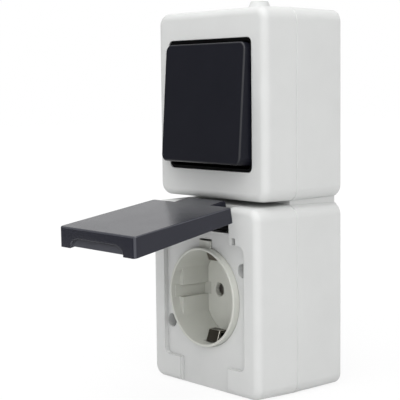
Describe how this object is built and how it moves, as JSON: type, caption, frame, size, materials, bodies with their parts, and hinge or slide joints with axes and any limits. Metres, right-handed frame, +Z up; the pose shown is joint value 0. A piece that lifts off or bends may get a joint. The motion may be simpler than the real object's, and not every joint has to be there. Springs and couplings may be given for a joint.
{
  "type": "switch and socket combination",
  "caption": "Surface-mounted splash-proof wall unit with a large rocker switch above an earthed round-pin socket under a hinged lid.",
  "frame": {"origin": "on the wall face, midway between the two boxes", "axes": "+X to the right as seen from the room, +Y into the wall, +Z up"},
  "size_m": [0.069, 0.1018, 0.1631],
  "materials": {
    "housing": "light grey, fine moulded texture",
    "grommet": "soft light grey",
    "rocker": "anthracite, satin",
    "bezel": "near black, satin",
    "lid": "dark grey, satin",
    "pot": "grey, satin",
    "seal": "matt black",
    "carrier": "off-white",
    "contact": "stamped",
    "earth_strap": "stamped and plated",
    "screw": "zinc plated",
    "steel": "drawn"
  },
  "bodies": {
    "housing": {"back_box": "housing", "cable_grommet": "grommet", "switch_cover": "housing", "switch_cover_seal": "seal", "switch_frame": "bezel", "upper_contact": "contact", "lower_contact": "contact", "common_contact": "contact", "switch_base": "carrier", "switch_terminal_screws": "screw", "switch_base_screws": "screw", "switch_cover_screws": "screw", "socket_cover": "housing", "socket_cover_seal": "seal", "socket_pot": "pot", "pin_plate": "pot", "earth_strap": "earth_strap", "live_contact": "contact", "neutral_contact": "contact", "socket_base": "carrier", "socket_terminal_screws": "screw", "socket_base_screws": "screw", "socket_cover_screws": "screw", "hinge_pin": "steel"},
    "lid": {"lid": "lid", "lid_seal": "seal"},
    "rocker": {"rocker": "rocker", "rocker_cradle": "carrier", "plunger": "carrier", "plunger_spring": "steel"},
    "contact_bridge": {"contact_bridge": "contact"}
  },
  "joints": [
    {"name": "lid_hinge", "type": "hinge", "parent": "housing", "child": "lid", "pos_m": [0, -0.044, -0.00943], "axis": [1, 0, 0], "range_deg": [0, 81]},
    {"name": "rocker_tilt", "type": "hinge", "parent": "housing", "child": "rocker", "pos_m": [0, -0.037, 0.04013], "axis": [1, 0, 0], "range_deg": [0, 8.12]},
    {"name": "contact_tilt", "type": "hinge", "parent": "housing", "child": "contact_bridge", "pos_m": [0, -0.0237, 0.04013], "axis": [1, 0, 0], "range_deg": [-8.12, 0]}
  ],
  "couplings": [
    {"joint": "contact_tilt", "follows": "rocker_tilt", "ratio": -1}
  ]
}
